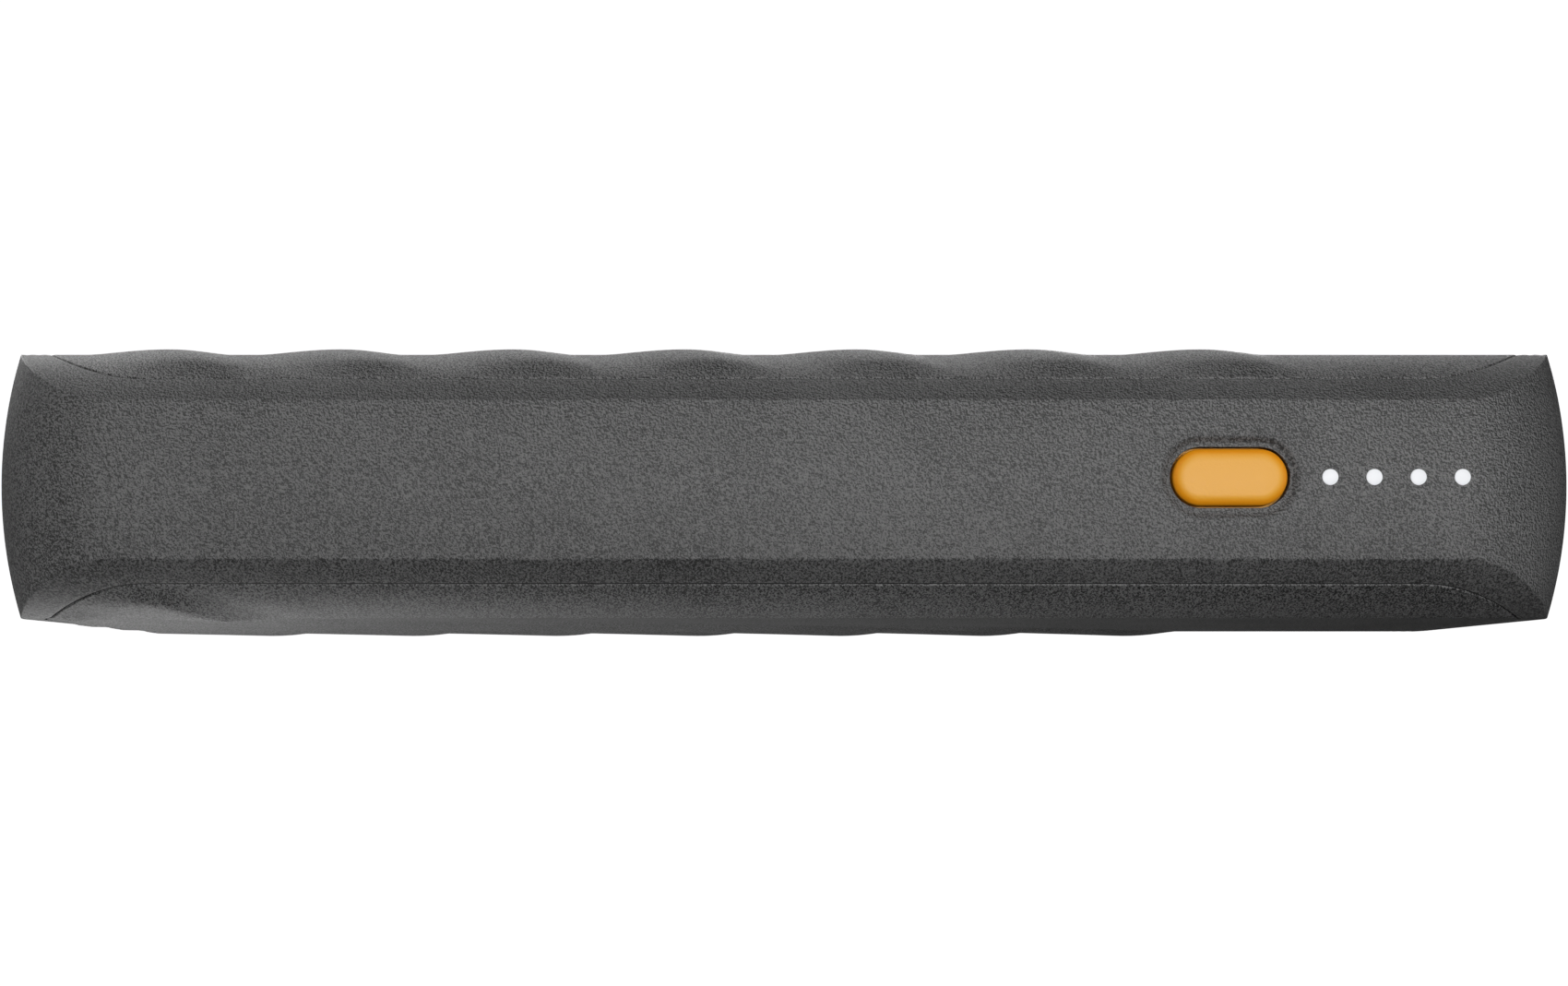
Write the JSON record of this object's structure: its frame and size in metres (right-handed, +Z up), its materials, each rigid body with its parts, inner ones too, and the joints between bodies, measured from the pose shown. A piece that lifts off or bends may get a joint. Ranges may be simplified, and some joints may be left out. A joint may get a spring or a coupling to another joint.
{
  "type": "power bank",
  "caption": "Rugged portable power bank: grey ribbed casing in two covers around a frame, with a press button, charge lights and USB sockets.",
  "frame": {"origin": "centre of the bounding box, at the level of the lowest rib on the bottom cover", "axes": "+X along the length towards the socket end, +Z up through the thickness, -Y out of the long side that holds the button and the lights"},
  "size_m": [0.1852, 0.0828, 0.0323],
  "materials": {
    "textured_grey": "fine moulded grain, matt",
    "amber": "satin",
    "light_white": "translucent white, satin",
    "board_green": "solder mask",
    "switch_black": "satin",
    "brass": "plain",
    "lamp_white": "clear cap",
    "cell_wrap": "shrink-wrapped can",
    "bracket_black": "moulded",
    "nickel": "nickel strip",
    "foam": "closed-cell foam",
    "wire_black": "insulation",
    "wire_red": "insulation",
    "wire_white": "insulation",
    "plated_steel": "bright plated",
    "socket_black": "moulded",
    "ferrite": "moulded ferrite",
    "can_aluminium": "drawn can",
    "chip_black": "moulded"
  },
  "bodies": {
    "casing": {"middle_frame": "textured_grey", "top_cover": "textured_grey", "bottom_cover": "textured_grey", "light_pipe": "light_white", "indicator_board": "board_green", "main_board": "board_green", "switch_body": "switch_black", "board_header": "switch_black", "indicator_lamp_1": "lamp_white", "indicator_lamp_2": "lamp_white", "indicator_lamp_3": "lamp_white", "indicator_lamp_4": "lamp_white", "cell_1": "cell_wrap", "cell_2": "cell_wrap", "cell_3": "cell_wrap", "cell_4": "cell_wrap", "cell_5": "cell_wrap", "cell_6": "cell_wrap", "cell_bracket_1": "bracket_black", "cell_bracket_2": "bracket_black", "cell_bracket_3": "bracket_black", "cell_bracket_4": "bracket_black", "bus_bar_left": "nickel", "bus_bar_middle": "nickel", "bus_bar_right": "nickel", "top_foam_pad_1": "foam", "top_foam_pad_2": "foam", "bottom_foam_pad_1": "foam", "bottom_foam_pad_2": "foam", "negative_lead": "wire_black", "positive_lead": "wire_red", "balance_lead": "wire_white", "board_screw_1": "plated_steel", "board_screw_2": "plated_steel", "board_screw_3": "plated_steel", "board_screw_4": "plated_steel", "usb_a_near_shell": "plated_steel", "usb_a_far_shell": "plated_steel", "usb_c_shell": "plated_steel", "usb_a_near_tongue": "socket_black", "usb_a_far_tongue": "socket_black", "usb_c_tongue": "socket_black", "power_inductor_1": "ferrite", "power_inductor_2": "ferrite", "filter_capacitor_1": "can_aluminium", "filter_capacitor_2": "can_aluminium", "charge_controller": "chip_black", "port_controller": "chip_black", "protection_chip": "chip_black"},
    "button": {"power_button": "amber"},
    "switch": {"switch_plunger": "brass"}
  },
  "joints": [
    {"name": "button_press", "type": "slide", "parent": "casing", "child": "button", "axis": [0, 1, 0], "range_m": [0, 0.0005], "stiffness_N_per_m": 3000},
    {"name": "switch_press", "type": "slide", "parent": "casing", "child": "switch", "axis": [0, 1, 0], "range_m": [0, 0.0005]}
  ],
  "couplings": [
    {"joint": "switch_press", "follows": "button_press", "ratio": 1}
  ]
}
